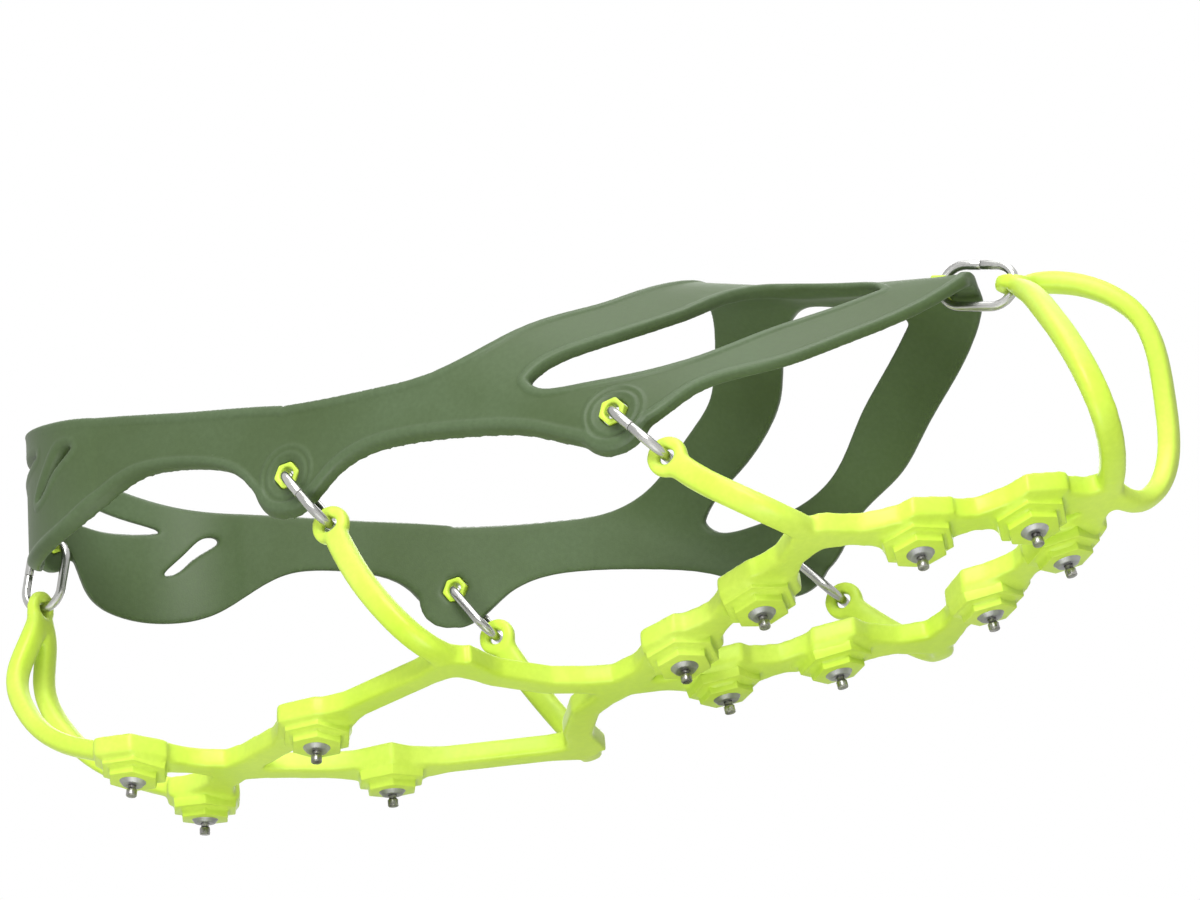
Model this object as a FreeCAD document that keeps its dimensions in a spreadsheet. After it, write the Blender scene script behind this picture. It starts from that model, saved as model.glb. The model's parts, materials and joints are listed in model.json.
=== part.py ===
import FreeCAD, Part
import math
import os

# One pull-on ice cleat for a boot. +X points to the toe, +Y to the left, +Z up.
# The origin lies on the ground, under the middle of the cleat. Lengths are in millimetres, angles in degrees.

Vector = FreeCAD.Vector
doc = FreeCAD.newDocument("iceCleat")
sheet = doc.addObject("Spreadsheet::Sheet", "sizes")

sizes = {
    "halfLength": 150.0,
    "halfWidth": 52.0,
    "harnessWall": 2.8,
    "heelRadius": 36.0,
    "lobeRadius": 9.6,
    "tabRadius": 8.0,
    "tipRadius": 8.2,
    "midShift": 1.72,
    "holeRadius": 1.8,
    "mouthRadius": 2.3,
    "mouthDepth": 0.8,
    "grommetFlats": 5.8,
    "grommetProud": 0.2,
    "mouldFit": 0.05,
    "wireRadius": 1.15,
    "linkLength": 20.0,
    "linkBreadth": 12.5,
    "seamGap": 0.12,
    "holePlay": 0.2,
    "eyeletRadius": 4.7,
    "eyeletBore": 1.95,
    "eyeletThick": 2.8,
    "strandWidth": 7.0,
    "strandThick": 5.0,
    "armWidth": 5.7,
    "armThick": 4.6,
    "plateFlats": 17.5,
    "upperTierFlats": 15.0,
    "lowerTierFlats": 11.0,
    "tierHeight": 2.2,
    "collarRadius": 3.2,
    "collarFace": 2.5,
    "collarHeight": 1.0,
    "pinReach": 3.1,
    "pinRadius": 1.2,
    "pinNeck": 0.95,
    "pinTip": 0.85,
    "pinSeat": 2.6,
    "shankRadius": 2.1,
    "baseRadius": 4.5,
    "baseThick": 1.2,
    "baseDepth": 6.8,
    "studLean": 5.2,
    "steepestLean": 7.5,
}
for row, (alias, value) in enumerate(sizes.items(), start=1):
    sheet.set("A%d" % row, alias)
    sheet.set("B%d" % row, str(value))
    sheet.setAlias("B%d" % row, alias)
doc.recompute()


def size(alias):
    return float(sheet.get(alias))


def along(share):
    # stations are shares of the half length, from the middle of the finished cleat
    return share * size("halfLength") + size("midShift")


def across(share):
    return share * size("halfWidth")


def sheetTerms(text):
    words = sorted(sizes, key=len, reverse=True)
    for word in words:
        text = text.replace("@" + word, "sizes." + word)
    return text


def primitive(kind, name, placement=None, **cells):
    item = doc.addObject("Part::" + kind, name)
    for prop, term in cells.items():
        item.setExpression(prop, sheetTerms(term))
    if placement is not None:
        item.Placement = placement
    return item


def fused(name, items):
    item = doc.addObject("Part::MultiFuse", name)
    item.Shapes = items
    return item


def cut(name, base, tool):
    item = doc.addObject("Part::Cut", name)
    item.Base = base
    item.Tool = tool
    return item


def shaped(name, shape):
    item = doc.addObject("Part::Feature", name)
    item.Shape = shape
    return item


def facing(origin, xAxis, zAxis):
    # placement whose local z is zAxis and whose local x is as near to xAxis as it can be
    z = Vector(zAxis).normalize()
    x = Vector(xAxis) - z * Vector(xAxis).dot(z)
    x.normalize()
    y = z.cross(x)
    return FreeCAD.Placement(origin, FreeCAD.Rotation(x, y, z, "ZXY"))


def shifted(placement, dx=0.0, dy=0.0, dz=0.0):
    return placement.multiply(FreeCAD.Placement(Vector(dx, dy, dz), FreeCAD.Rotation()))


finished = []


def finish(item, label):
    item.Label = label
    finished.append(item)
    return item


sides = {"right": -1.0, "left": 1.0}

# ---- where things are -------------------------------------------------------------------------------------

lean = math.radians(size("studLean"))
bossHeight = 2 * size("tierHeight") + size("collarHeight")

# rows of studs from heel to toe: station, distance from the middle, height over the lowest studs, turn of the hexagon
studRows = [
    (-0.730, 0.323, 3.8, 0.0),
    (-0.393, 0.356, 0.0, 0.0),
    (0.213, 0.227, 0.0, 18.0),
    (0.373, 0.427, 3.6, 18.0),
    (0.627, 0.417, 8.3, 15.0),
    (0.780, 0.202, 11.8, 15.0),
]
steepest = math.radians(size("steepestLean"))
discHeight = size("pinReach") * math.cos(steepest) + size("pinTip") * math.sin(steepest)

# underside of the net from behind the heel to the toe, rising at both ends
rockerPoints = [Vector(along(-0.88), 0, discHeight + bossHeight + 6.6)]
for station, offset, lift, turn in studRows[:2]:
    rockerPoints.append(Vector(along(station), 0, discHeight + bossHeight + lift))
rockerPoints.append(Vector(along(-0.09), 0, discHeight + bossHeight - 0.6))
for station, offset, lift, turn in studRows[2:]:
    rockerPoints.append(Vector(along(station), 0, discHeight + bossHeight + lift))
rockerPoints.append(Vector(along(0.96), 0, discHeight + bossHeight + 17.5))
rocker = Part.BSplineCurve()
rocker.interpolate(rockerPoints)


def rockerAt(x):
    place = rocker.parameter(Vector(x, 0, discHeight + bossHeight))
    for attempt in range(6):
        slope = rocker.tangent(place)[0]
        place += (x - rocker.value(place).x) / rocker.getD1(place)[1].x
    return rocker.value(place).z, math.atan2(slope.z, slope.x)


linkWireSpan = size("linkLength") - 2 * size("wireRadius")
holeSpan = linkWireSpan + 2 * size("holePlay")
linkBend = size("linkBreadth") / 2 - size("wireRadius")
# the side holes: station, outer surface from the middle, height, fall of the link
sideHoles = {"rear": (-0.330, 0.835, 61.8, -56.0), "front": (0.247, 0.998, 51.0, -50.0)}
roofThick = 1.25 * size("harnessWall")
heelMiddle = along(-0.6967)
tabHole = Vector(heelMiddle - size("heelRadius") + 0.2, 0, 84.0)
tipHole = Vector(along(0.663), 0, 87.3 - roofThick / 2)


def sideHole(which, side):
    station, offset, height, fall = sideHoles[which]
    return Vector(along(station), side * (across(offset) - size("harnessWall") / 2), height)


def drop(start, angle):
    turn = math.radians(angle)
    return start + Vector(math.cos(turn), 0, math.sin(turn)) * holeSpan


# each link: its harness hole, its net hole, and the outward direction of both holes
links = {"heel": (tabHole, drop(tabHole, -102.0), Vector(-1, 0, 0)),
         "toe": (tipHole, drop(tipHole, -16.0), Vector(0, 0, 1))}
for which in sideHoles:
    for sideName, side in sides.items():
        start = sideHole(which, side)
        links[which + "_" + sideName] = (start, drop(start, sideHoles[which][3]), Vector(0, side, 0))

# ---- harness ----------------------------------------------------------------------------------------------

splitStation = along(-0.330)
splitWidth = across(0.835)
heelSpread = (splitWidth - size("heelRadius")) / (splitStation - heelMiddle)
leadStation = -0.450
leadWidth = (splitWidth - heelSpread * (splitStation - along(leadStation))) / size("halfWidth")
rise = 0.5
# outer surface over the forefoot: station, half width, height of the upright side, height of the ridge, fullness
# the first station lies on the heel's side wall, so that both surfaces run in line where they meet
vampStations = [
    (leadStation, leadWidth, 94.0, 145.0, 2.0),
    (-0.330, 0.835, 88.0, 137.0, 2.0),
    (-0.147, 0.904, 78.0, 125.0, 2.0),
    (0.080, 0.962, 60.0, 110.5, 1.7),
    (0.280, 1.000, 46.0, 101.5, 1.35),
    (0.467, 0.923, 44.0, 93.5, 1.12),
    (0.613, 0.731, 45.0, 88.7, 1.08),
    (0.720, 0.558, 48.0, 86.0, 1.08),
    (0.820, 0.400, 52.0, 84.3, 1.08),
]
ridgeRounding = 6.0
shellFoot = 34.0


def vampSection(station, halfWidth, spring, crown, fullness, inset):
    x = along(station)
    wide = across(halfWidth) - inset
    top = crown - inset * roofThick / size("harnessWall")
    steps = 16
    points = []
    reach = math.hypot(wide, ridgeRounding) - ridgeRounding
    for step in range(-steps, steps + 1):
        angle = math.pi / 2 * step / steps
        share = abs(math.sin(angle)) ** (2 / fullness)
        rise = abs(math.cos(angle)) ** (2 / fullness)
        y = math.sqrt((share * reach + ridgeRounding) ** 2 - ridgeRounding ** 2)
        points.append(Vector(x, math.copysign(y, step), spring + (top - spring) * rise))
    arch = Part.BSplineCurve()
    arch.interpolate(points)
    footLeft = Vector(x, wide, shellFoot)
    footRight = Vector(x, -wide, shellFoot)
    edges = [arch.toShape(), Part.makeLine(points[-1], footLeft)]
    edges.append(Part.makeLine(footLeft, footRight))
    edges.append(Part.makeLine(footRight, points[0]))
    return Part.Wire(edges)


def vampSolid(inset):
    return Part.makeLoft([vampSection(*row, inset) for row in vampStations], True, False)


def heelSolid(inset):
    radius = size("heelRadius") - inset
    wide = splitWidth - inset
    corners = [Vector(splitStation, -wide, 0), Vector(heelMiddle, -radius, 0)]
    corners += [Vector(heelMiddle, radius, 0), Vector(splitStation, wide, 0)]
    back = Part.Arc(corners[1], Vector(heelMiddle - radius, 0, 0), corners[2]).toShape()
    outline = [Part.makeLine(corners[0], corners[1]), back]
    outline += [Part.makeLine(corners[2], corners[3]), Part.makeLine(corners[3], corners[0])]
    plan = Part.Face(Part.Wire(outline))
    plan.translate(Vector(0, 0, shellFoot))
    return plan.extrude(Vector(0, 0, 100))


def curveThrough(points):
    curve = Part.BSplineCurve()
    curve.interpolate(points)
    return curve.toShape()


def frontPoint(x, offset, z):
    # outlines on the forefoot are drawn on the middle plane and pushed out and up
    return Vector(x, 0, z - rise * across(offset))


def slanted(edges, direction):
    return Part.Face(Part.Wire(edges)).extrude(direction)


frontPush = Vector(0, -140, 140 * rise)
rearPush = Vector(-140, -140, 140 * rise)
aboveRidge = 150.0


def frontOutline():
    lower = [(-0.330, 0.835, 52.4), (-0.279, 0.854, 55.0), (-0.243, 0.868, 58.8), (-0.205, 0.882, 60.9)]
    lower += [(-0.118, 0.911, 61.0), (0.007, 0.942, 57.3), (0.107, 0.963, 52.6), (0.180, 0.981, 47.0)]
    lower += [(0.247, 1.0, 44.5), (0.320, 0.975, 48.0), (0.375, 0.877, 54.4), (0.480, 0.70, 59.2)]
    lower += [(0.553, 0.525, 65.0), (0.633, 0.345, 71.5), (0.690, 0.19, 77.5), (0.715, 0.06, 81.0)]
    upper = [(-0.330, 0.835, 79.6), (-0.240, 0.869, 77.2), (-0.147, 0.900, 75.4), (-0.057, 0.925, 74.8)]
    upper += [(0.025, 0.900, 77.9), (0.083, 0.823, 82.4)]
    upper += [(0.135, 0.725, 85.8), (0.185, 0.606, 88.8), (0.220, 0.458, 93.3), (0.253, 0.27, 98.0)]
    upper += [(0.283, 0.0, 103.5)]
    low = [frontPoint(along(a), b, c) for a, b, c in lower]
    high = [frontPoint(along(a), b, c) for a, b, c in upper]
    tipTop = Vector(low[-1].x, 0, aboveRidge)
    notchTop = Vector(high[-1].x, 0, aboveRidge)
    edges = [curveThrough(low), Part.makeLine(low[-1], tipTop), Part.makeLine(tipTop, notchTop)]
    edges += [Part.makeLine(notchTop, high[-1]), curveThrough(high[::-1]), Part.makeLine(high[0], low[0])]
    return slanted(edges, frontPush)


def frontWindow():
    lower = [(0.107, 0.945, 66.0), (0.122, 0.952, 63.2), (0.187, 0.937, 61.5), (0.280, 0.873, 61.9)]
    lower += [(0.353, 0.77, 64.3), (0.447, 0.52, 72.5), (0.513, 0.36, 77.5), (0.585, 0.17, 83.0)]
    upper = [(0.585, 0.17, 83.0), (0.560, 0.115, 86.6), (0.500, 0.105, 89.3), (0.420, 0.12, 92.6)]
    upper += [(0.360, 0.27, 88.6), (0.313, 0.52, 81.6), (0.260, 0.688, 77.4), (0.207, 0.794, 74.1)]
    upper += [(0.130, 0.915, 69.5), (0.107, 0.945, 66.0)]
    low = [frontPoint(along(a), b, c) for a, b, c in lower]
    high = [frontPoint(along(a), b, c) for a, b, c in upper]
    return slanted([curveThrough(low), curveThrough(high)], frontPush)


# heel outlines: distance in front of the heel's back along the wrapped surface, and height
heelBack = heelMiddle - size("heelRadius")


def sideReach(distance):
    # how far out the wrapped surface lies, seen along the 45 degree push
    radius = size("heelRadius")
    if distance <= 2 * radius:
        turn = math.pi / 4 + math.asin(max(-1.0, (distance / radius - 1) / math.sqrt(2)))
        return radius * math.sin(turn)
    x = (heelBack + distance - radius + heelSpread * heelMiddle) / (1 + heelSpread)
    return heelBack + distance - x


def wrapped(distance, height):
    # outlines round the heel are drawn on the middle plane and pushed out and back at 45 degrees, and up
    return Vector(heelBack + distance, 0, height - rise * sideReach(distance))


def rearOutline():
    split = splitStation + splitWidth - heelBack
    lower = [(split, 52.4), (127.0, 55.8), (119.0, 65.2), (105.0, 72.3), (92.0, 75.4), (83.0, 76.0)]
    lower += [(73.0, 73.5), (62.0, 69.5), (46.0, 67.5), (27.0, 68.5), (14.0, 73.5)]
    lower += [(9.5, 80.5), (5.5, 84.2), (0.0, 84.8)]
    upper = [(split, 79.6), (122.0, 82.7), (102.0, 87.2), (79.0, 92.8), (54.0, 98.3), (26.0, 104.0)]
    upper += [(0.0, 108.0)]
    low = [wrapped(*point) for point in lower]
    high = [wrapped(*point) for point in upper]
    edges = [curveThrough(low), Part.makeLine(low[-1], high[-1]), curveThrough(high[::-1])]
    edges.append(Part.makeLine(high[0], low[0]))
    return slanted(edges, rearPush)


def rearWindows():
    back = [(-1.0, 99.0), (14.0, 98.0), (30.0, 95.5), (43.0, 92.6), (30.0, 91.4), (14.0, 91.4), (-1.0, 91.8)]
    slot = [(62.0, 89.6), (57.0, 90.2), (50.5, 86.0), (43.5, 80.5), (47.5, 81.0), (55.5, 85.5), (62.0, 89.6)]
    solids = []
    points = [wrapped(*point) for point in back]
    solids.append(slanted([curveThrough(points), Part.makeLine(points[-1], points[0])], rearPush))
    ring = Part.BSplineCurve()
    ring.interpolate([wrapped(*point) for point in slot[:-1]], PeriodicFlag=True)
    solids.append(slanted([ring.toShape()], rearPush))
    return solids


def discAt(middle, axis, radius, thickness):
    unit = Vector(axis).normalize()
    return Part.makeCylinder(radius, thickness, middle - unit * (thickness / 2), unit)


def harnessHalf():
    outer = [vampSolid(0.0), heelSolid(0.0)]
    inner = [vampSolid(size("harnessWall")), heelSolid(size("harnessWall"))]
    vampShell = outer[0].cut(inner[0])
    heelShell = outer[1].cut(inner[1])
    front = vampShell.common(frontOutline()).cut(frontWindow())
    rear = heelShell.common(rearOutline())
    for window in rearWindows():
        rear = rear.cut(window)
    pieces = [rear]
    for which, shell in (("rear", heelShell), ("front", vampShell)):
        hole = sideHole(which, -1.0)
        middle = frontPoint(hole.x, abs(hole.y) / size("halfWidth"), hole.z)
        rim = Part.Circle(middle, Vector(0, 1, 0), size("lobeRadius")).toShape()
        pieces.append(shell.common(slanted([rim], frontPush)))
    halfSpace = Part.makeBox(400, 100, 200, Vector(-200, -100, 0))
    tip = discAt(tipHole, Vector(0, 0, 1), size("tipRadius"), 30.0)
    pieces.append(vampShell.common(tip).common(halfSpace))
    tab = discAt(tabHole, linkAxes("heel")[3], size("tabRadius"), size("harnessWall"))
    pieces.append(tab.common(halfSpace))
    return front.fuse(pieces).removeSplitter()


def linkAxes(name):
    start, end, holeAxis = links[name]
    long = (end - start).normalize()
    hole = holeAxis - long * holeAxis.dot(long)
    return start, end, long, hole.normalize()


def hexagon(middle, axis, flats, length, upright):
    placement = facing(middle, upright, axis)
    radius = flats / math.sqrt(3)
    corners = []
    for corner in range(7):
        turn = math.radians(60 * corner)
        corners.append(Vector(radius * math.cos(turn), radius * math.sin(turn), -length / 2))
    prism = Part.Face(Part.makePolygon(corners)).extrude(Vector(0, 0, length))
    prism.Placement = placement
    return prism


def makeHarness():
    half = harnessHalf()
    other = half.mirror(Vector(0, 0, 0), Vector(0, 1, 0))
    whole = half.fuse(other).removeSplitter()
    for name in links:
        start, end, long, hole = linkAxes(name)
        flats = size("grommetFlats") + 2 * size("mouldFit")
        whole = whole.cut(hexagon(start, hole, flats, 24.0, long))
    return finish(shaped("harness", whole), "harness")


def makeGrommet(name):
    start, end, long, hole = linkAxes(name)
    place = facing(start, long, hole)
    length = size("harnessWall") + 2 * size("grommetProud")
    body = primitive("Prism", "grommetHex_" + name, shifted(place, dz=-length / 2),
                     Circumradius="@grommetFlats / sqrt(3)", Height="@harnessWall + 2 * @grommetProud")
    body.Polygon = 6
    hollows = [primitive("Cylinder", "grommetBore_" + name, shifted(place, dz=-length),
                         Radius="@holeRadius", Height="3 * @harnessWall")]
    # both mouths open out, so that the bent wire clears their edges
    depth = size("mouthDepth")
    hollows.append(primitive("Cone", "grommetMouthA_" + name, shifted(place, dz=length / 2 - depth),
                             Radius1="@holeRadius", Radius2="@mouthRadius", Height="@mouthDepth"))
    hollows.append(primitive("Cone", "grommetMouthB_" + name, shifted(place, dz=-length / 2),
                             Radius1="@mouthRadius", Radius2="@holeRadius", Height="@mouthDepth"))
    return finish(cut("grommet_" + name, body, fused("grommetHollow_" + name, hollows)), "grommet_" + name)


# ---- links ------------------------------------------------------------------------------------------------

def makeLink(name):
    start, end, long, hole = linkAxes(name)
    middle = (start + end) / 2
    # local x runs from the harness hole to the net hole, local y along the holes
    frame = FreeCAD.Placement(middle, FreeCAD.Rotation(long, hole, long.cross(hole), "XYZ"))
    straight = linkWireSpan - 2 * linkBend
    bend = "@linkBreadth / 2 - @wireRadius"
    run = "@linkLength - @linkBreadth"
    pieces = []
    for end_, turn in ((1, -90), (-1, 90)):
        tilt = FreeCAD.Placement(Vector(end_ * straight / 2, 0, 0), FreeCAD.Rotation(Vector(0, 0, 1), turn))
        pieces.append(primitive("Torus", "linkBend_%s_%d" % (name, end_), frame.multiply(tilt),
                                Radius1=bend, Radius2="@wireRadius", Angle3="180"))
    alongX = FreeCAD.Rotation(Vector(0, 1, 0), 90)
    plain = FreeCAD.Placement(Vector(-straight / 2, -linkBend, 0), alongX)
    pieces.append(primitive("Cylinder", "linkBar_" + name, frame.multiply(plain),
                            Radius="@wireRadius", Height=run))
    halfRun = "(" + run + ") / 2 - @seamGap / 2"
    for begin, label in ((-straight / 2, "A"), (size("seamGap") / 2, "B")):
        place = FreeCAD.Placement(Vector(begin, linkBend, 0), alongX)
        pieces.append(primitive("Cylinder", "linkSeam%s_%s" % (label, name), frame.multiply(place),
                                Radius="@wireRadius", Height=halfRun))
    return finish(fused("link_" + name, pieces), "link_" + name)


# ---- studs ------------------------------------------------------------------------------------------------

def studFrame(row, side):
    station, offset, lift, turn = studRows[row]
    x = along(station)
    pitch = rockerAt(x)[1]
    up = Vector(-math.sin(pitch) * math.cos(lean), -side * math.sin(lean), math.cos(pitch) * math.cos(lean))
    origin = Vector(x, side * across(offset), discHeight + lift)
    place = facing(origin, Vector(1, 0, 0), up)
    return place.multiply(FreeCAD.Placement(Vector(), FreeCAD.Rotation(Vector(0, 0, 1), side * turn)))


def makePin(tag, place):
    step = 0.5
    lower = shifted(place, dz=-size("pinReach"))
    tip = primitive("Cone", "pinTip_" + tag, lower, Radius1="@pinTip", Radius2="@pinRadius", Height=str(step))
    head = primitive("Cylinder", "pinHead_" + tag, shifted(lower, dz=step), Radius="@pinRadius",
                     Height="@pinReach * 0.4")
    neckAt = step + size("pinReach") * 0.4
    taper = primitive("Cone", "pinTaper_" + tag, shifted(lower, dz=neckAt), Radius1="@pinRadius",
                      Radius2="@pinNeck", Height=str(step))
    neck = primitive("Cylinder", "pinNeck_" + tag, shifted(lower, dz=neckAt + step), Radius="@pinNeck",
                     Height="@pinReach * 0.6 - %s + @collarHeight + @pinSeat" % (2 * step))
    return finish(fused("pin_" + tag, [tip, head, taper, neck]), "stud_pin_" + tag)


def makeCollar(tag, place):
    cone = primitive("Cone", "collarCone_" + tag, place, Radius1="@collarFace", Radius2="@collarRadius",
                     Height="@collarHeight")
    bore = primitive("Cylinder", "collarBore_" + tag, shifted(place, dz=-1), Radius="@pinNeck + @mouldFit",
                     Height="@collarHeight + 2")
    return finish(cut("collar_" + tag, cone, bore), "stud_collar_" + tag)


def makeAnchor(tag, place):
    seat = shifted(place, dz=size("collarHeight"))
    shank = primitive("Cylinder", "anchorShank_" + tag, seat, Radius="@shankRadius", Height="@baseDepth")
    base = primitive("Cylinder", "anchorBase_" + tag, shifted(seat, dz=size("baseDepth")),
                     Radius="@baseRadius", Height="@baseThick")
    socket = primitive("Cylinder", "anchorSocket_" + tag, seat, Radius="@pinNeck + @mouldFit",
                       Height="@pinSeat + @mouldFit")
    whole = fused("anchorWhole_" + tag, [shank, base])
    return finish(cut("anchor_" + tag, whole, socket), "stud_anchor_" + tag)


# ---- net --------------------------------------------------------------------------------------------------

heelCross = (-0.607, 0.0)
rearJunction = (-0.097, 0.654)
middleCross = (0.073, 0.0)
frontJunction = (0.500, 0.712)
toeCross = (0.877, 0.0)


# the strand from the rear junction bends through these spots on its way to the middle cross
bendSpots = [(-0.072, 0.42), (-0.020, 0.19)]


def planPoint(spot, side):
    return Vector(along(spot[0]), side * across(spot[1]), 0)


def planBar(start, run, outline):
    # an upright slab along a strand: distance from its start and half width, the same on both sides
    unit = Vector(run).normalize()
    normal = Vector(-unit.y, unit.x, 0)
    corners = [start + unit * distance + normal * half for distance, half in outline]
    corners += [start + unit * distance - normal * half for distance, half in reversed(outline)]
    return Part.Face(Part.makePolygon(corners + corners[:1])).extrude(Vector(0, 0, 60))


def soleStrands(side):
    studSpots = [(row[0], row[1]) for row in studRows]
    route = [studSpots[0], heelCross, studSpots[1], rearJunction] + bendSpots
    route += [middleCross, studSpots[2], studSpots[3], frontJunction, studSpots[4], studSpots[5], toeCross]
    half = size("strandWidth") / 2
    plate = size("plateFlats") / 2
    atPlate = [(plate - 3.0, half + 3.0), (plate + 1.0, half + 1.2), (plate + 5.0, half)]
    atCross = [(0.0, half + 1.6), (4.5, half + 0.8), (9.0, half)]
    solids = []
    for first, second in zip(route, route[1:]):
        a = planPoint(first, side)
        b = planPoint(second, side)
        solids.append(planBar(a, b - a, [(0.0, half), ((b - a).Length, half)]))
        solids.append(Part.makeCylinder(half, 60, b))
        for spot, start, run in ((first, a, b - a), (second, b, a - b)):
            if spot in studSpots:
                solids.append(planBar(start, run, atPlate))
            elif spot not in bendSpots:
                solids.append(planBar(start, run, atCross))
    return solids


def rockerBand():
    low = rocker.toShape()
    high = low.copy()
    high.translate(Vector(0, 0, size("strandThick")))
    ends = [Part.makeLine(low.firstVertex().Point, high.firstVertex().Point)]
    ends.append(Part.makeLine(low.lastVertex().Point, high.lastVertex().Point))
    face = Part.Face(Part.Wire([low, ends[1], high, ends[0]]))
    face.translate(Vector(0, -100, 0))
    return face.extrude(Vector(0, 200, 0))


def armRing(point, tangent, outward, share):
    # control points of a rounded flat bar: width along the boot, thickness away from it
    t = Vector(tangent).normalize()
    n = Vector(outward) - t * Vector(outward).dot(t)
    n.normalize()
    w = t.cross(n)
    overshoot = 0.535
    ring = []
    for step in range(12):
        turn = math.pi * step / 6
        c = math.copysign(abs(math.cos(turn)) ** 0.5, math.cos(turn))
        s = math.copysign(abs(math.sin(turn)) ** 0.5, math.sin(turn))
        ring.append(point + w * (c * size("armWidth") * overshoot) + n * (s * size("armThick") * overshoot * share))
    return ring


def arm(points, outwards):
    # a bar along a smooth curve through the points, its flat side turned by the outward directions
    path = Part.BSplineCurve()
    path.interpolate(points)
    places = [path.parameter(point) for point in points]
    rings = []
    for number in range(len(points) - 1):
        for part in (0.0, 0.5):
            place = places[number] + (places[number + 1] - places[number]) * part
            outward = outwards[number] * (1 - part) + outwards[number + 1] * part
            share = 0.95 * size("eyeletThick") / size("armThick") if number == 0 and part == 0.0 else 1.0
            rings.append(armRing(path.value(place), path.tangent(place)[0], outward, share))
    rings.append(armRing(path.value(places[-1]), path.tangent(places[-1])[0], outwards[-1], 1.0))
    count = len(rings)
    around = len(rings[0])
    skin = Part.BSplineSurface()
    skin.buildFromPolesMultsKnots(rings, [4] + [1] * (count - 4) + [4], [1] * (around + 1),
                                  list(range(count - 2)), list(range(around + 1)), False, True, 3, 3)
    faces = [skin.toShape()]
    for end in skin.bounds()[:2]:
        faces.append(Part.Face(Part.Wire([skin.uIso(end).toShape()])))
    shell = Part.makeShell(faces)
    shell.sewShape()
    return Part.makeSolid(shell)


def bandMiddle(spot, side):
    point = planPoint(spot, side)
    return Vector(point.x, point.y, rockerAt(point.x)[0] + size("strandThick") / 2)


def sideArm(which, side):
    hole = links[which + ("_right" if side < 0 else "_left")][1]
    junction = {"rear": rearJunction, "front": frontJunction}[which]
    end = bandMiddle(junction, side)
    bulge = {"rear": 5.2, "front": 2.2}[which]
    drop_ = hole.z - end.z
    run = end.x - hole.x
    wide = abs(hole.y) + bulge
    shares = [(0.28, 0.38, -1.6), (0.60, 0.72, 0.0), (0.86, 0.95, -3.4)]
    points = [hole]
    for shareX, shareZ, inward in shares:
        points.append(Vector(hole.x + run * shareX, side * (wide + inward), hole.z - drop_ * shareZ))
    points.append(end)
    out = Vector(0, side, 0)
    outwards = [out, out, Vector(0, side, -0.35), Vector(0, side, -1.3), Vector(0, 0.1 * side, -1)]
    return arm(points, outwards)


def heelArm(side):
    hole = links["heel"][1]
    end = bandMiddle(studRows[0][:2], side)
    back = along(-0.9838)
    points = [hole, Vector(back + 2.2, side * 4.0, 55.5), Vector(back, side * 6.2, 47.0)]
    points += [Vector(back + 3.4, side * 8.6, 37.5), Vector(back + 11.0, side * 11.2, 28.0)]
    points += [Vector(back + 22.5, side * 14.0, 20.8), end]
    outwards = [Vector(-1, 0, 0), Vector(-1, 0, 0), Vector(-1, 0, 0), Vector(-1, 0, -0.35)]
    outwards += [Vector(-0.8, 0, -0.8), Vector(-0.35, 0, -1), Vector(0, 0, -1)]
    return arm(points, outwards)


def toeArm(side):
    hole = links["toe"][1]
    end = bandMiddle(toeCross, side)
    if side < 0:
        points = [hole, Vector(along(0.820), -9.0, 73.0), Vector(along(0.867), -20.5, 60.5)]
        points += [Vector(along(0.920), -30.0, 44.0), Vector(along(0.942), -29.0, 31.5)]
        points += [Vector(along(0.920), -15.0, 26.2), end]
        outwards = [Vector(0.3, 0, 1), Vector(0.7, -0.5, 0.7), Vector(0.8, -0.8, 0.3), Vector(0.8, -0.8, 0)]
        outwards += [Vector(0.7, -0.6, -0.5), Vector(0.2, -0.1, -1), Vector(0, 0, -1)]
    else:
        points = [hole, Vector(along(0.835), 3.5, 80.5), Vector(along(0.900), 6.0, 76.5)]
        points += [Vector(along(0.954), 9.5, 67.5), Vector(along(0.955), 15.0, 52.0)]
        points += [Vector(along(0.942), 19.0, 38.5), Vector(along(0.915), 16.0, 28.6), end]
        outwards = [Vector(0.3, 0, 1), Vector(0.2, 0, 1), Vector(0.5, 0, 1), Vector(1, 0, 0.6)]
        outwards += [Vector(1, 0, 0), Vector(1, 0, -0.3), Vector(0.4, 0, -1), Vector(0, 0, -1)]
    return arm(points, outwards)


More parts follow.
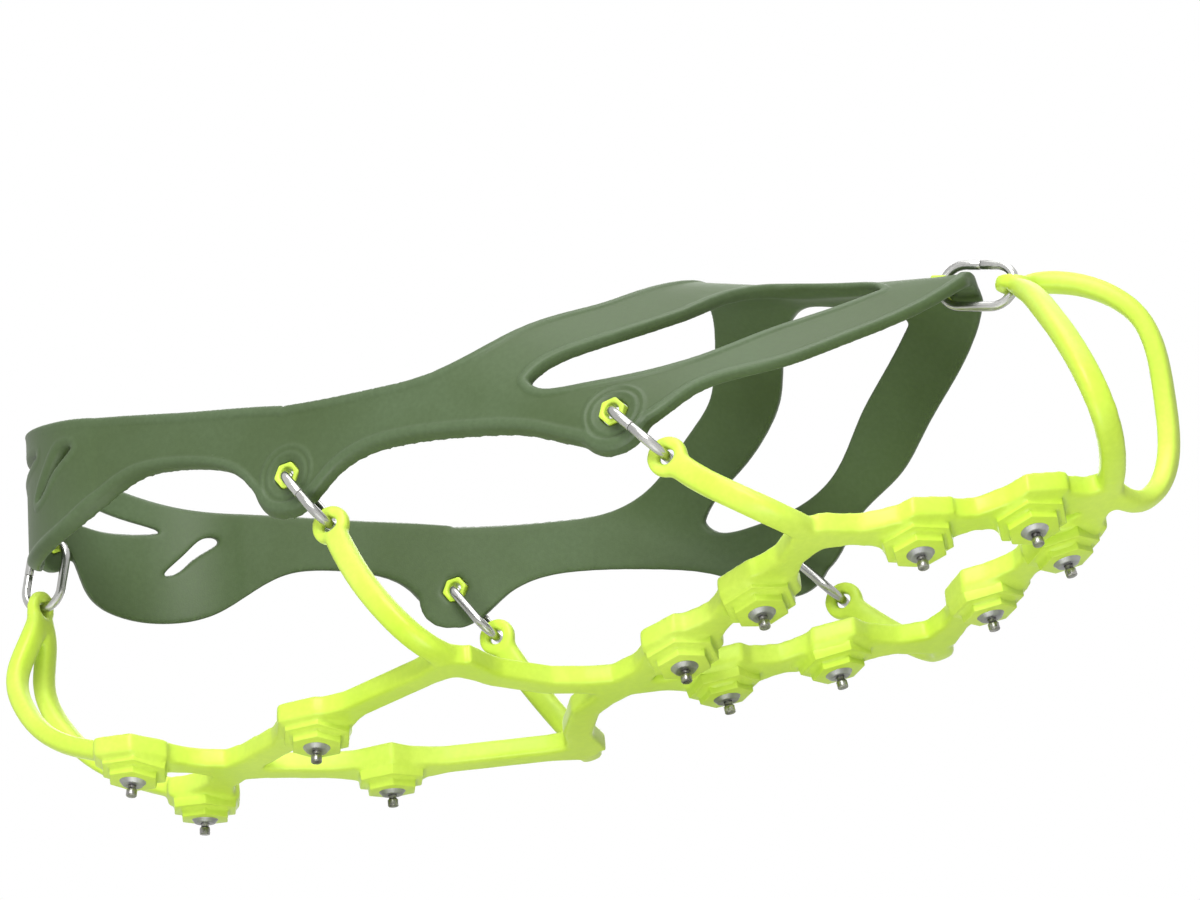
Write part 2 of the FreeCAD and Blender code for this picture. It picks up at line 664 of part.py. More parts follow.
def makeNet():
    strands = []
    for side in sides.values():
        strands += soleStrands(side)
    places = {}
    for row in range(len(studRows)):
        for sideName, side in sides.items():
            places["%s_%d" % (sideName, row + 1)] = studFrame(row, side)
    for place in places.values():
        plate = hexagon(Vector(place.Base.x, place.Base.y, 30), Vector(0, 0, 1), size("plateFlats"), 60,
                        place.Rotation.multVec(Vector(1, 0, 0)))
        strands.append(plate)
    sole = strands[0].fuse(strands[1:]).common(rockerBand())
    tiers = []
    for place in places.values():
        up = place.Rotation.multVec(Vector(0, 0, 1))
        turned = place.Rotation.multVec(Vector(1, 0, 0))
        low = size("collarHeight")
        tier = size("tierHeight")
        lowerMiddle = place.Base + up * (low + tier / 2 + 0.5)
        tiers.append(hexagon(lowerMiddle, up, size("lowerTierFlats"), tier + 1.0, turned))
        upperMiddle = place.Base + up * (low + tier + (tier + 2.5) / 2)
        tiers.append(hexagon(upperMiddle, up, size("upperTierFlats"), tier + 2.5, turned))
    net = sole.fuse(tiers)
    extras = []
    for side in sides.values():
        extras += [sideArm("rear", side), sideArm("front", side), heelArm(side), toeArm(side)]
    for name in links:
        start, end, long, hole = linkAxes(name)
        extras.append(discAt(end, hole, size("eyeletRadius"), size("eyeletThick")))
    for extra in extras:
        net = net.fuse(extra)
    holes = []
    for name in links:
        start, end, long, hole = linkAxes(name)
        holes.append(discAt(end, hole, size("eyeletBore"), 30.0))
    fit = size("mouldFit")
    for place in places.values():
        up = place.Rotation.multVec(Vector(0, 0, 1))
        seat = place.Base + up * size("collarHeight")
        holes.append(Part.makeCylinder(size("shankRadius") + fit, size("baseDepth") + 0.4, seat - up * 0.2, up))
        base = seat + up * (size("baseDepth") - fit)
        holes.append(Part.makeCylinder(size("baseRadius") + fit, size("baseThick") + 2 * fit, base, up))
    net = net.cut(holes[0].fuse(holes[1:]))
    return finish(shaped("soleNet", net), "sole_net")


# ---- build ------------------------------------------------------------------------------------------------

makeHarness()
makeNet()
for linkName in links:
    makeLink(linkName)
    makeGrommet(linkName)
for rowNumber in range(len(studRows)):
    for sideName, sideSign in sides.items():
        tag = "%s_%d" % (sideName, rowNumber + 1)
        frame = studFrame(rowNumber, sideSign)
        makePin(tag, frame)
        makeCollar(tag, frame)
        makeAnchor(tag, frame)

doc.recompute()
for item in doc.Objects:
    if "Invalid" in item.State or "Error" in item.State:
        raise RuntimeError(item.Name + " could not be built")
os.makedirs("parts", exist_ok=True)
for item in finished:
    if item.Shape.isNull() or not item.Shape.isValid():
        raise RuntimeError(item.Label + " is not a valid solid")
    print(item.Label, len(item.Shape.Solids), round(item.Shape.Volume, 2))
    item.Shape.exportStep("parts/" + item.Label + ".step")
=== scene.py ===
import bpy
import bmesh
import json
import math
import numpy as np
from mathutils import Matrix, Vector, kdtree


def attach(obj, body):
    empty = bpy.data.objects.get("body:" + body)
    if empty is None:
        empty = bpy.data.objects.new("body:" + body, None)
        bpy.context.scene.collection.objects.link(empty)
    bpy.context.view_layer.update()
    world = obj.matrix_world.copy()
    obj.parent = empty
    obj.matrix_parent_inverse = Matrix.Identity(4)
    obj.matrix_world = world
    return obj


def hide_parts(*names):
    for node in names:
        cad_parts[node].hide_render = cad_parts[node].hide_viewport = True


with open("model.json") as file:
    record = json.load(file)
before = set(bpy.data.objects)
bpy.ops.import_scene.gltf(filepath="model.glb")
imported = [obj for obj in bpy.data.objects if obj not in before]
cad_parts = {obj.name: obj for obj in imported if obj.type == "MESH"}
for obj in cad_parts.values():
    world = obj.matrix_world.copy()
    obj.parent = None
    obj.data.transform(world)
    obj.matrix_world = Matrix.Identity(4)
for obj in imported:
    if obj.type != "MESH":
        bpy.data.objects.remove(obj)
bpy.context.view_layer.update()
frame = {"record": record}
mm = 0.001
weld = 0.002 * mm
fineWeld = 0.001 * mm
root = "cleat"
linkNames = ["heel", "toe", "rear_left", "rear_right", "front_left", "front_right"]
joints = {joint["child"]: joint for joint in frame["record"]["behaviour"]["joints"]}


class Signal:
    # a shader socket that can do sums

    def __init__(self, finish, socket):
        self.finish = finish
        self.socket = socket

    def sum(self, operation, first, second):
        return self.finish.node("ShaderNodeMath", {"operation": operation}, {0: first, 1: second})

    def __add__(self, other):
        return self.sum("ADD", self, other)

    def __sub__(self, other):
        return self.sum("SUBTRACT", self, other)

    def __rsub__(self, other):
        return self.sum("SUBTRACT", other, self)

    def __mul__(self, other):
        return self.sum("MULTIPLY", self, other)

    __radd__ = __add__
    __rmul__ = __mul__


class Finish:
    def __init__(self, owner, **constants):
        self.owner = owner
        owner.use_nodes = True
        self.tree = owner.node_tree
        self.shader = self.tree.nodes.get("Principled BSDF")
        for socket, value in constants.items():
            self.shader.inputs[socket.replace("_", " ")].default_value = value

    def node(self, kind, settings=None, sockets=None, out=0):
        made = self.tree.nodes.new(kind)
        for name, value in (settings or {}).items():
            setattr(made, name, value)
        for name, value in (sockets or {}).items():
            self.feed(made.inputs[name], value)
        return Signal(self, made.outputs[out])

    def feed(self, socket, value):
        if isinstance(value, Signal):
            self.tree.links.new(value.socket, socket)
        elif socket.type == "RGBA" and len(value) == 3:
            socket.default_value = (*value, 1.0)
        else:
            socket.default_value = value

    def place(self):
        return self.node("ShaderNodeTexCoord", out="Object")

    def grain(self, scale, detail=3.0, stretch=(1.0, 1.0, 1.0)):
        spot = self.node("ShaderNodeMapping", None, {"Vector": self.place(), "Scale": stretch})
        return self.node("ShaderNodeTexNoise", None, {"Vector": spot, "Scale": scale, "Detail": detail})

    def mix(self, share, low, high):
        # a colour Mix node keeps its colours in sockets 6 and 7
        return self.node("ShaderNodeMix", {"data_type": "RGBA"}, {0: share, 6: low, 7: high}, out=2)

    def limit(self, value, low, high):
        return self.node("ShaderNodeMapRange", {"clamp": True},
                         {"Value": value, "From Min": low, "From Max": high})

    def attribute(self, name):
        return self.node("ShaderNodeAttribute", {"attribute_name": name}, out="Fac")

    def bump(self, height, depth, strength):
        return self.node("ShaderNodeBump", None,
                         {"Height": height, "Distance": depth * mm, "Strength": strength})

    def shown(self):
        # one for the camera and for what metal and glass mirror, nought for the light that reaches the object
        rays = [self.node("ShaderNodeLightPath", out=name) for name in stageSizes["shownTo"]]
        seen = rays[0]
        for ray in rays[1:]:
            seen = seen.sum("MAXIMUM", seen, ray)
        return seen

    def wear(self, **sockets):
        for name, value in sockets.items():
            self.feed(self.shader.inputs[name.replace("_", " ")], value)
        return self.owner


def material(name, **constants):
    return Finish(bpy.data.materials.new(name), **constants)


harnessTone = {"flat": (0.063, 0.098, 0.036), "pale": (0.106, 0.155, 0.082), "deep": (0.040, 0.065, 0.022),
               "specular": 0.24, "cloudScale": 28.0, "cloudRange": (0.30, 0.70), "cloudShare": 0.60,
               "speckScale": 900.0, "speckRange": (0.35, 0.75), "speckShare": 0.22, "rimHighlightShare": 0.45,
               "roughness": 0.42, "cloudRough": 0.10, "speckRough": 0.05, "rimRough": 0.05,
               "skinScale": 2600.0, "skinHeight": 0.6, "flowScale": 160.0, "flowStretch": (0.35, 1.0, 1.0),
               "flowHeight": 1.4, "bumpDepth": 0.06, "bumpStrength": 0.55}
netTone = {"flat": (0.570, 0.795, 0.055), "pale": (0.725, 0.900, 0.150), "deep": (0.300, 0.540, 0.008),
           "specular": 0.34, "cloudScale": 36.0, "cloudRange": (0.32, 0.70), "cloudShare": 0.70,
           "speckScale": 700.0, "speckRange": (0.40, 0.75), "speckShare": 0.12, "rimHighlightShare": 0.0,
           "roughness": 0.36, "cloudRough": 0.12, "speckRough": 0.04, "rimRough": 0.0,
           "skinScale": 2200.0, "skinHeight": 0.5, "flowScale": 120.0, "flowStretch": (0.4, 1.0, 1.0),
           "flowHeight": 1.5, "bumpDepth": 0.06, "bumpStrength": 0.5}


def elastomer(name, tone):
    finish = material(name, Specular_IOR_Level=tone["specular"])
    cloud = finish.limit(finish.grain(tone["cloudScale"], 4.0), *tone["cloudRange"])
    speck = finish.limit(finish.grain(tone["speckScale"], 2.0), *tone["speckRange"])
    rim = finish.attribute("rim")
    colour = finish.mix(cloud * tone["cloudShare"], tone["flat"], tone["pale"])
    # painted highlight: the raised bead rims and rings are painted paler, standing in for light catching them
    colour = finish.mix(rim * tone["rimHighlightShare"], colour, tone["pale"])
    colour = finish.mix((1.0 - speck) * tone["speckShare"], colour, tone["deep"])
    rough = cloud * tone["cloudRough"] + speck * tone["speckRough"] - rim * tone["rimRough"]
    skin = finish.grain(tone["skinScale"], 2.0)
    flow = finish.grain(tone["flowScale"], 3.0, tone["flowStretch"])
    relief = skin * tone["skinHeight"] + flow * tone["flowHeight"]
    return finish.wear(Base_Color=colour, Roughness=rough + tone["roughness"],
                       Normal=finish.bump(relief, tone["bumpDepth"], tone["bumpStrength"]))


linkTone = {"dull": (0.36, 0.36, 0.35), "bright": (0.52, 0.52, 0.50), "stainScale": 90.0,
            "stainRange": (0.35, 0.70), "gritScale": 700.0, "gritDetail": 4.0, "gritStretch": (0.12, 1.0, 1.0),
            "roughness": 0.14, "gritRough": 0.14, "stainRough": 0.06, "bumpDepth": 0.02, "bumpStrength": 0.5}
studTone = {"dull": (0.26, 0.26, 0.27), "bright": (0.40, 0.40, 0.41), "stainScale": 260.0,
            "stainRange": (0.35, 0.70), "gritScale": 1800.0, "gritDetail": 3.0, "gritStretch": (1.0, 1.0, 1.0),
            "roughness": 0.34, "gritRough": 0.22, "stainRough": 0.0, "bumpDepth": 0.03, "bumpStrength": 0.6}
pinTone = {"dull": (0.17, 0.165, 0.16), "bright": (0.42, 0.41, 0.40), "stainScale": 420.0,
           "stainRange": (0.35, 0.65), "gritScale": 2400.0, "gritDetail": 3.0, "gritStretch": (1.0, 1.0, 1.0),
           "roughness": 0.20, "gritRough": 0.20, "stainRough": 0.0, "bumpDepth": 0.02, "bumpStrength": 0.6}


def steel(name, tone):
    finish = material(name, Metallic=1.0)
    grit = finish.grain(tone["gritScale"], tone["gritDetail"], tone["gritStretch"])
    stain = finish.limit(finish.grain(tone["stainScale"], 3.0), *tone["stainRange"])
    rough = grit * tone["gritRough"] + (1.0 - stain) * tone["stainRough"] + tone["roughness"]
    return finish.wear(Base_Color=finish.mix(stain, tone["dull"], tone["bright"]), Roughness=rough,
                       Normal=finish.bump(grit, tone["bumpDepth"], tone["bumpStrength"]))


finishes = {"harness": elastomer("moulded green elastomer", harnessTone),
            "net": elastomer("moulded lime elastomer", netTone),
            "link": steel("bright drawn wire", linkTone),
            "stud": steel("turned stud steel", studTone),
            "pin": steel("ground hard pin", pinTone),
            "grommet": elastomer("moulded lime liner", netTone)}
print("finishes made")


def newPiece(name, mesh, finish, slotName, body, *nodes):
    piece = bpy.data.objects.new(name, mesh)
    bpy.context.scene.collection.objects.link(piece)
    mesh.materials.clear()
    mesh.materials.append(finishes[finish])
    for face in mesh.polygons:
        face.use_smooth = True
    if nodes:
        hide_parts(*nodes)
    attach(piece, body)


def toMesh(bm, name):
    bmesh.ops.recalc_face_normals(bm, faces=bm.faces)
    mesh = bpy.data.meshes.new(name)
    bm.to_mesh(mesh)
    bm.free()
    return mesh


def madeOf(geometry, kind):
    return [item for item in geometry if isinstance(item, kind)]


def edgesOf(verts):
    return list({edge for vert in verts for edge in vert.link_edges})


def openEdges(bm):
    return [edge for edge in bm.edges if len(edge.link_faces) == 1]


def soften(bm, edges, width, segments):
    bmesh.ops.bevel(bm, geom=edges, affect="EDGES", offset=width * mm, segments=segments, profile=0.5,
                    material=-1)


def mergedCopy(node):
    # the node's loose triangles, joined into one skin
    bm = bmesh.new()
    bm.from_mesh(bpy.data.objects[node].data)
    bmesh.ops.remove_doubles(bm, verts=bm.verts, dist=weld)
    return bm


def evaluated(mesh, name, kind, **settings):
    # the mesh with one modifier applied
    holder = bpy.data.objects.new(name, mesh)
    bpy.context.scene.collection.objects.link(holder)
    modifier = holder.modifiers.new(name, kind)
    for key, value in settings.items():
        setattr(modifier, key, value)
    graph = bpy.context.evaluated_depsgraph_get()
    result = bpy.data.meshes.new_from_object(holder.evaluated_get(graph))
    bpy.data.objects.remove(holder)
    return result


def smoothed(mesh, name, times):
    return evaluated(mesh, name, "SMOOTH", factor=0.5, iterations=times)


def sharpPoints(bm, least, spacing, skip):
    # points along the sharp edges, apart from those near the skipped places
    points = []
    for edge in bm.edges:
        if len(edge.link_faces) == 2 and edge.calc_face_angle(0.0) > least:
            first, second = edge.verts[0].co, edge.verts[1].co
            steps = max(1, int((second - first).length / spacing))
            for step in range(steps + 1):
                point = first.lerp(second, step / steps)
                if all((point - spot).length > reach for spot, reach in skip):
                    points.append(point)
    tree = kdtree.KDTree(len(points))
    for number, point in enumerate(points):
        tree.insert(point, number)
    tree.balance()
    return tree


def vectorsOf(items, field):
    values = np.empty(len(items) * 3)
    items.foreach_get(field, values)
    return values.reshape(-1, 3)


def coordinates(mesh):
    return vectorsOf(mesh.vertices, "co")


def remoulded(bm, name, sizes):
    # the copied skin, remade evenly and with softened edges
    even = evaluated(toMesh(bm, name), name, "REMESH", mode="VOXEL", voxel_size=sizes["voxel"] * mm)
    return smoothed(even, name, sizes["softening"])


def thinned(mesh, name, triangles):
    now = sum(len(face.vertices) - 2 for face in mesh.polygons)
    if now <= triangles:
        return mesh
    return evaluated(mesh, name, "DECIMATE", ratio=triangles / now)


def smoothStep(values):
    clipped = np.clip(values, 0.0, 1.0)
    return clipped * clipped * (3.0 - 2.0 * clipped)


harnessMould = {"voxel": 0.36, "softening": 34, "blending": 3, "triangles": 190000,
                "sharpAngle": 32.0, "edgeSpacing": 0.4, "holeClear": 5.6,
                "spineFrom": -0.106, "spineTo": 0.108, "spineHeight": 0.045,
                "facingFrom": 0.45, "facingRange": 0.35,
                "beadHeight": 0.46, "beadRise": 0.8, "beadWidth": 1.9, "beadFade": 0.8,
                "ringRadii": (5.3, 7.1), "ringHeight": 0.32, "ringWidth": 0.45}


def makeHarness():
    sizes = harnessMould
    bm = mergedCopy("harness")
    holes = [Vector(joints[name + "_link"]["pos_m"]) for name in linkNames]
    tree = sharpPoints(bm, math.radians(sizes["sharpAngle"]), sizes["edgeSpacing"] * mm,
                       [(hole, sizes["holeClear"] * mm) for hole in holes])
    mesh = remoulded(bm, "harnessMoulding", sizes)
    spots = coordinates(mesh)
    normals = vectorsOf(mesh.vertex_normals, "vector")
    # the bead lies only on the side that faces away from a line through the foot
    spine = np.column_stack([np.clip(spots[:, 0], sizes["spineFrom"], sizes["spineTo"]),
                             np.zeros(len(spots)), np.full(len(spots), sizes["spineHeight"])])
    outward = spots - spine
    outward /= np.linalg.norm(outward, axis=1)[:, None]
    facing = smoothStep(((normals * outward).sum(axis=1) - sizes["facingFrom"]) / sizes["facingRange"])
    distance = np.array([tree.find(spot)[2] for spot in spots]) / mm
    inner = sizes["beadWidth"] + sizes["beadFade"]
    rim = smoothStep((inner - distance) / sizes["beadFade"]) * facing
    lift = rim * smoothStep(distance / sizes["beadRise"]) * sizes["beadHeight"]
    for name in linkNames[2:]:
        hole = np.array(joints[name + "_link"]["pos_m"])
        away = np.hypot(spots[:, 0] - hole[0], spots[:, 2] - hole[2]) / mm
        near = (np.sign(spots[:, 1]) == np.sign(hole[1])) * facing
        for radius in sizes["ringRadii"]:
            lift += near * sizes["ringHeight"] * np.exp(-((away - radius) / sizes["ringWidth"]) ** 2)
    spots += normals * (lift * mm)[:, None]
    mesh.vertices.foreach_set("co", spots.ravel())
    # the rim attribute carries a painted highlight: it paints the bead and the rings round the side holes
    # paler
    attribute = mesh.attributes.new("rim", "FLOAT", "POINT")
    shade = np.clip(np.maximum(rim, lift / sizes["beadHeight"]), 0.0, 1.0)
    attribute.data.foreach_set("value", shade)
    mesh = smoothed(mesh, "harnessMoulding", sizes["blending"])
    mesh = thinned(mesh, "harnessMoulding", sizes["triangles"])
    newPiece("harnessMoulding", mesh, "harness", "harness_elastomer", root, "harness")
    print("harness", len(mesh.polygons))


netMould = {"voxel": 0.42, "softening": 34, "triangles": 190000}


def makeNet():
    mesh = remoulded(mergedCopy("sole_net"), "netMoulding", netMould)
    mesh = thinned(mesh, "netMoulding", netMould["triangles"])
    newPiece("netMoulding", mesh, "net", "net_elastomer", root, "sole_net")
    print("net", len(mesh.polygons))


# turn of each row's hexagons in degrees, as in the moulding
studRows = {1: 0.0, 2: 0.0, 3: 18.0, 4: 18.0, 5: 15.0, 6: 15.0}
sides = {"left": 1.0, "right": -1.0}
studs = [(side, row, "%s_%d" % (side, row)) for side in sides for row in studRows]


def studPlace(side, row, tag):
    # origin on the collar's lower face, z up along the stud, found from the metal pieces
    low = coordinates(bpy.data.objects["stud_pin_" + tag].data).mean(axis=0)
    high = coordinates(bpy.data.objects["stud_anchor_" + tag].data).mean(axis=0)
    up = Vector(high - low).normalized()
    reach = coordinates(bpy.data.objects["stud_collar_" + tag].data) @ np.array(up)
    seat = Vector(low) + up * (reach.min() - Vector(low).dot(up))
    across = (Vector((1, 0, 0)) - up * up.x).normalized()
    across = Matrix.Rotation(math.radians(studRows[row] * sides[side]), 3, up) @ across
    return Matrix.Translation(seat) @ Matrix((across, up.cross(across), up)).transposed().to_4x4()


bossSizes = {"draft": 0.965, "edge": 0.22,
             "tiers": [{"low": 1.0, "high": 3.3, "flats": 11.3}, {"low": 3.15, "high": 5.5, "flats": 15.3}]}


def hexTier(bm, tier):
    radius = tier["flats"] / math.sqrt(3)
    verts = bmesh.ops.create_cone(bm, cap_ends=True, segments=6, radius1=radius * bossSizes["draft"] * mm,
                                  radius2=radius * mm, depth=(tier["high"] - tier["low"]) * mm)["verts"]
    bmesh.ops.rotate(bm, verts=verts, matrix=Matrix.Rotation(math.radians(90), 3, "Z"))
    bmesh.ops.translate(bm, verts=verts, vec=(0, 0, (tier["low"] + tier["high"]) / 2 * mm))
    soften(bm, edgesOf(verts), bossSizes["edge"], 3)


def makeBosses():
    whole = bmesh.new()
    for side, row, tag in studs:
        bm = bmesh.new()
        for tier in bossSizes["tiers"]:
            hexTier(bm, tier)
        bmesh.ops.transform(bm, verts=bm.verts, matrix=studPlace(side, row, tag))
        mesh = toMesh(bm, "tier")
        whole.from_mesh(mesh)
        bpy.data.meshes.remove(mesh)
    newPiece("studBosses", toMesh(whole, "studBosses"), "net", "net_elastomer", root)
    print("bosses")


# radius and height of each corner, upwards from the collar's lower face
turned = {
    "collar": {"steps": 48, "finish": "stud", "slot": "stud_steel",
               "profile": [(1.02, 0.30), (1.02, 0.10), (1.16, 0.0), (2.20, 0.0), (2.42, 0.06), (2.56, 0.22),
                           (3.06, 0.84), (3.16, 0.94), (3.18, 1.04), (3.06, 1.10), (1.6, 1.10)]},
    "pin": {"steps": 40, "finish": "pin", "slot": "pin_steel",
            "profile": [(0.0, -2.76), (0.96, -2.76), (1.12, -2.72), (1.24, -2.60), (1.29, -2.44),
                        (1.30, -2.30), (1.30, -1.20), (1.26, -1.08), (1.04, -0.90), (0.98, -0.82),
                        (0.94, -0.62), (0.95, -0.50), (0.95, 0.60), (0.95, 2.4), (0.0, 2.4)]},
}


def lathe(profile, steps, place, name):
    bm = bmesh.new()
    verts = [bm.verts.new((radius * mm, 0.0, height * mm)) for radius, height in profile]
    edges = [bm.edges.new(pair) for pair in zip(verts, verts[1:])]
    bmesh.ops.spin(bm, geom=verts + edges, cent=(0, 0, 0), axis=(0, 0, 1), angle=math.tau, steps=steps,
                   use_merge=True)
    bmesh.ops.remove_doubles(bm, verts=bm.verts, dist=weld)
    rims = openEdges(bm)
    if rims:
        bmesh.ops.holes_fill(bm, edges=rims)
    bmesh.ops.transform(bm, verts=bm.verts, matrix=place)
    return toMesh(bm, name)


def makeStuds():
    for side, row, tag in studs:
        place = studPlace(side, row, tag)
        for kind, sizes in turned.items():
            mesh = lathe(sizes["profile"], sizes["steps"], place, kind)
            newPiece("stud%s_%s" % (kind.capitalize(), tag), mesh, sizes["finish"], sizes["slot"], root,
                     "stud_%s_%s" % (kind, tag))
        for seat in bpy.data.objects["stud_anchor_" + tag].material_slots:
            seat.material = finishes["stud"]
    print("studs")


outwards = {"heel": (-1, 0, 0), "toe": (0, 0, 1), "rear_left": (0, 1, 0), "rear_right": (0, -1, 0),
            "front_left": (0, 1, 0), "front_right": (0, -1, 0)}


def linkPlace(name):
    # origin at the harness hole, x towards the net's hole, y outwards along the holes
    joint = joints[name + "_link"]
    long = Vector(joint["axis"]).normalized()
    out = Vector(outwards[name])
    out = (out - long * out.dot(long)).normalized()
    return Matrix.Translation(joint["pos_m"]) @ Matrix((long, out, long.cross(out))).transposed().to_4x4()


linkSizes = {"wire": 1.15, "bend": 5.1, "span": 17.7, "holeSpan": 18.1, "seam": 0.14, "round": 22,
             "bendSteps": 18, "chamfer": 0.16}


def makeLink(name):
    sizes = linkSizes
    bend = sizes["bend"] * mm
    straight = (sizes["span"] - 2 * sizes["bend"]) / 2 * mm
    seam = sizes["seam"] / 2 * mm
    bm = bmesh.new()
    ring = bmesh.ops.create_circle(bm, cap_ends=False, segments=sizes["round"],
                                   radius=sizes["wire"] * mm)["verts"]
    turn = Matrix.Rotation(math.radians(90), 4, "Y")
    bmesh.ops.transform(bm, verts=ring, matrix=Matrix.Translation((seam, bend, 0)) @ turn)

    def run(edges, length):
        made = bmesh.ops.extrude_edge_only(bm, edges=edges)["geom"]
        bmesh.ops.translate(bm, verts=madeOf(made, bmesh.types.BMVert), vec=(length, 0, 0))
        return madeOf(made, bmesh.types.BMEdge)

    def curl(edges, centre):
        made = bmesh.ops.spin(bm, geom=edges, cent=(centre, 0, 0), axis=(0, 0, 1), angle=-math.pi,
                              steps=sizes["bendSteps"])["geom_last"]
        return madeOf(made, bmesh.types.BMEdge)

    edges = run(edgesOf(ring), straight - seam)
    edges = curl(edges, straight)
    edges = run(edges, -2 * straight)
    edges = curl(edges, -straight)
    run(edges, straight - seam)
    bmesh.ops.remove_doubles(bm, verts=bm.verts, dist=fineWeld)
    caps = bmesh.ops.holes_fill(bm, edges=openEdges(bm))["faces"]
    soften(bm, list({edge for face in caps for edge in face.edges}), sizes["chamfer"], 2)
    middle = Matrix.Translation((sizes["holeSpan"] / 2 * mm, 0, 0))
    bmesh.ops.transform(bm, verts=bm.verts, matrix=linkPlace(name) @ middle)
    newPiece("wireLink_" + name, toMesh(bm, "wireLink_" + name), "link", "link_steel", name + "_link",
             "link_" + name)


grommetSizes = {"flats": 5.8, "hole": 1.8, "length": 3.2, "edge": 0.4, "sharpAngle": 50.0, "cuts": 5,
                "round": 36}


def makeGrommet(name):
    sizes = grommetSizes
    bm = bmesh.new()
    outer = bmesh.ops.create_circle(bm, cap_ends=False, segments=6,
                                    radius=sizes["flats"] / math.sqrt(3) * mm)["verts"]
    bmesh.ops.rotate(bm, verts=outer, matrix=Matrix.Rotation(math.radians(30), 3, "Z"))
    bmesh.ops.subdivide_edges(bm, edges=edgesOf(outer), cuts=sizes["cuts"])
    bmesh.ops.create_circle(bm, cap_ends=False, segments=sizes["round"], radius=sizes["hole"] * mm)
    bmesh.ops.bridge_loops(bm, edges=bm.edges[:])
    made = bmesh.ops.extrude_face_region(bm, geom=bm.faces[:])["geom"]
    bmesh.ops.translate(bm, verts=madeOf(made, bmesh.types.BMVert), vec=(0, 0, sizes["length"] * mm))
    bmesh.ops.translate(bm, verts=bm.verts, vec=(0, 0, -sizes["length"] / 2 * mm))
    bmesh.ops.remove_doubles(bm, verts=bm.verts, dist=fineWeld)
    bmesh.ops.recalc_face_normals(bm, faces=bm.faces)
    least = math.radians(sizes["sharpAngle"])
    sharp = [edge for edge in bm.edges if len(edge.link_faces) == 2 and edge.calc_face_angle(0.0) > least]
    soften(bm, sharp, sizes["edge"], 3)
    upright = Matrix.Rotation(math.radians(-90), 4, "X")
    bmesh.ops.transform(bm, verts=bm.verts, matrix=linkPlace(name) @ upright)
    newPiece("liner_" + name, toMesh(bm, "liner_" + name), "grommet", "grommet_plastic", root,
             "grommet_" + name)


stageSizes = {"floor": 6.0, "floorTone": (0.86, 0.86, 0.85), "shade": (0.25, 0.25, 0.24), "roughness": 0.9,
              "glowFrom": 0.45, "glowTo": 1.1, "sky": 0.26, "aim": (0.0, 0.0, 0.05),
              "shownTo": ("Is Camera Ray", "Is Glossy Ray", "Is Transmission Ray")}
lamps = [
    {"name": "keyLamp", "azimuth": 16.0, "elevation": 30.0, "distance": 1.5, "width": 0.7, "power": 20.0},
    {"name": "lowLamp", "azimuth": 10.0, "elevation": -52.0, "distance": 1.4, "width": 0.7, "power": 14.0},
    {"name": "topLamp", "azimuth": 60.0, "elevation": 75.0, "distance": 1.6, "width": 1.2, "power": 13.0},
    {"name": "backLamp", "azimuth": 200.0, "elevation": 30.0, "distance": 1.7, "width": 1.2, "power": 12.0},
]


def direction(azimuth, elevation):
    a, e = math.radians(azimuth), math.radians(elevation)
    return Vector((math.sin(a) * math.cos(e), -math.cos(a) * math.cos(e), math.sin(e)))


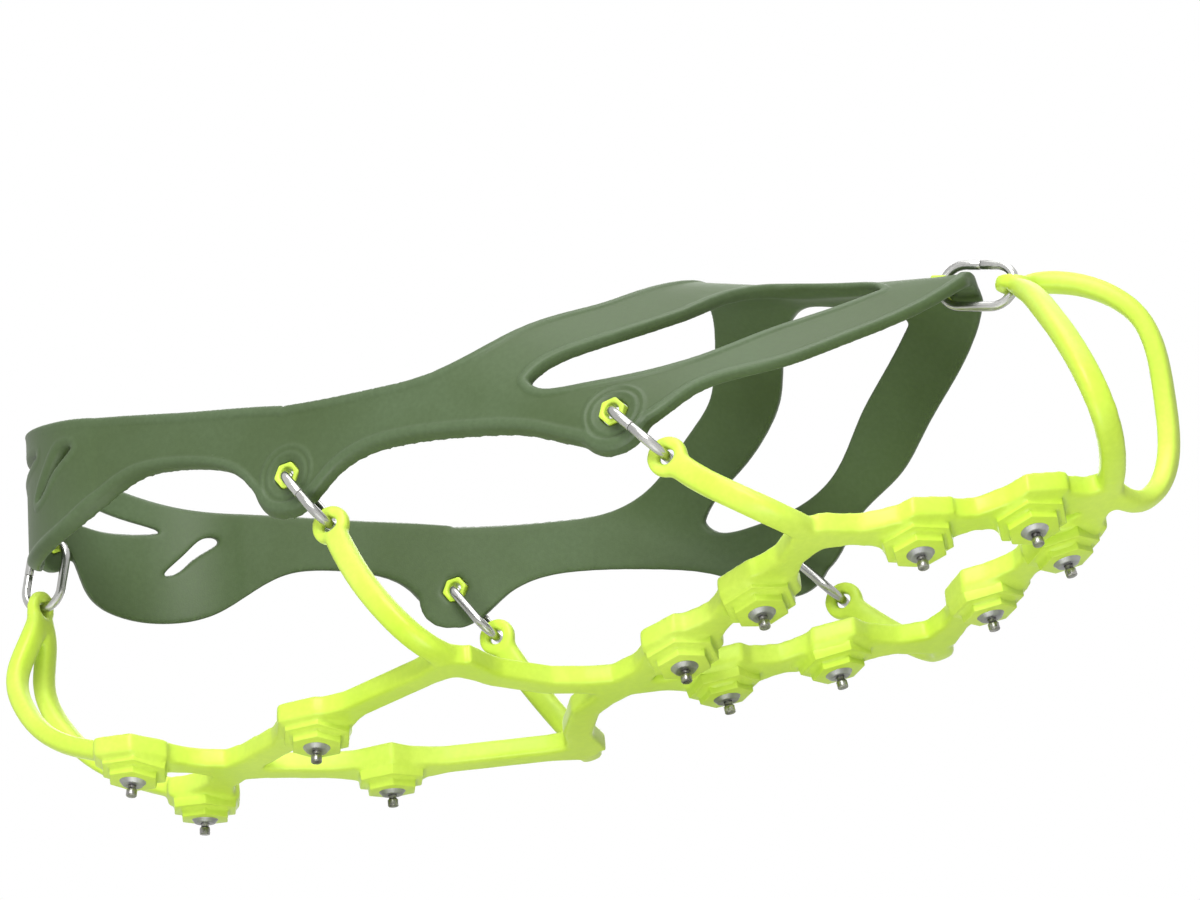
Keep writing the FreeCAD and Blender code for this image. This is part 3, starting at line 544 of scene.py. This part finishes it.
def makeFloor():
    bm = bmesh.new()
    bmesh.ops.create_grid(bm, x_segments=1, y_segments=1, size=stageSizes["floor"] / 2)
    mesh = bpy.data.meshes.new("floor")
    bm.to_mesh(mesh)
    bm.free()
    floor = bpy.data.objects.new("floor", mesh)
    bpy.context.scene.collection.objects.link(floor)
    finish = material("pale floor", Roughness=stageSizes["roughness"], Emission_Strength=1.0)
    # away from the object the floor turns to plain white
    away = finish.node("ShaderNodeVectorMath", {"operation": "LENGTH"}, {0: finish.place()}, out="Value")
    far = finish.limit(away, stageSizes["glowFrom"], stageSizes["glowTo"])
    near = finish.mix(finish.shown(), stageSizes["shade"], stageSizes["floorTone"])
    black, white = (0.0, 0.0, 0.0), (1.0, 1.0, 1.0)
    finish.wear(Base_Color=finish.mix(far, near, black),
                Emission_Color=finish.mix(far * finish.shown(), black, white))
    # from below the floor is clear
    clear = finish.node("ShaderNodeBsdfTransparent")
    below = finish.node("ShaderNodeNewGeometry", out="Backfacing")
    solid = Signal(finish, finish.shader.outputs[0])
    both = finish.node("ShaderNodeMixShader", None, {0: below, 1: solid, 2: clear})
    finish.feed(finish.tree.nodes["Material Output"].inputs["Surface"], both)
    mesh.materials.append(finish.owner)
    floor.visible_shadow = False
    print("floor")


def makeLight():
    world = bpy.data.worlds.new("sky")
    bpy.context.scene.world = world
    air = Finish(world)
    sky = air.tree.nodes["Background"]
    air.feed(sky.inputs["Color"], (1.0, 1.0, 1.0))
    air.feed(sky.inputs["Strength"], air.shown() * (1.0 - stageSizes["sky"]) + stageSizes["sky"])
    for sizes in lamps:
        light = bpy.data.lights.new(sizes["name"], "AREA")
        light.size = sizes["width"]
        light.energy = sizes["power"]
        lamp = bpy.data.objects.new(sizes["name"], light)
        bpy.context.scene.collection.objects.link(lamp)
        way = direction(sizes["azimuth"], sizes["elevation"])
        lamp.location = Vector(stageSizes["aim"]) + way * sizes["distance"]
        lamp.rotation_euler = way.to_track_quat("Z", "Y").to_euler()
    print("sky and lamps")


cameraSizes = {"spot": (366.0, -810.3, -333.7), "azimuth": 23.567, "elevation": -24.444, "roll": -5.068,
               "lens": 123.954, "sensor": 36.0, "nearest": 0.01, "farthest": 20.0}


def makeCamera():
    sizes = cameraSizes
    back = direction(sizes["azimuth"], sizes["elevation"])
    a, roll = math.radians(sizes["azimuth"]), math.radians(sizes["roll"])
    right = Vector((math.cos(a), math.sin(a), 0.0))
    across = right * math.cos(roll) + back.cross(right) * math.sin(roll)
    camera = bpy.data.objects.new("camera", bpy.data.cameras.new("camera"))
    bpy.context.scene.collection.objects.link(camera)
    camera.data.lens = sizes["lens"]
    camera.data.sensor_width = sizes["sensor"]
    camera.data.clip_start = sizes["nearest"]
    camera.data.clip_end = sizes["farthest"]
    turn = Matrix((across, back.cross(across), back)).transposed().to_4x4()
    camera.matrix_world = Matrix.Translation(Vector(sizes["spot"]) * mm) @ turn
    bpy.context.scene.camera = camera
    print("camera")


makeHarness()
makeNet()
makeBosses()
makeStuds()
for linkName in linkNames:
    makeLink(linkName)
    makeGrommet(linkName)
print("links and liners")
makeFloor()
makeLight()
makeCamera()
bpy.context.scene.view_settings.view_transform = "Standard"
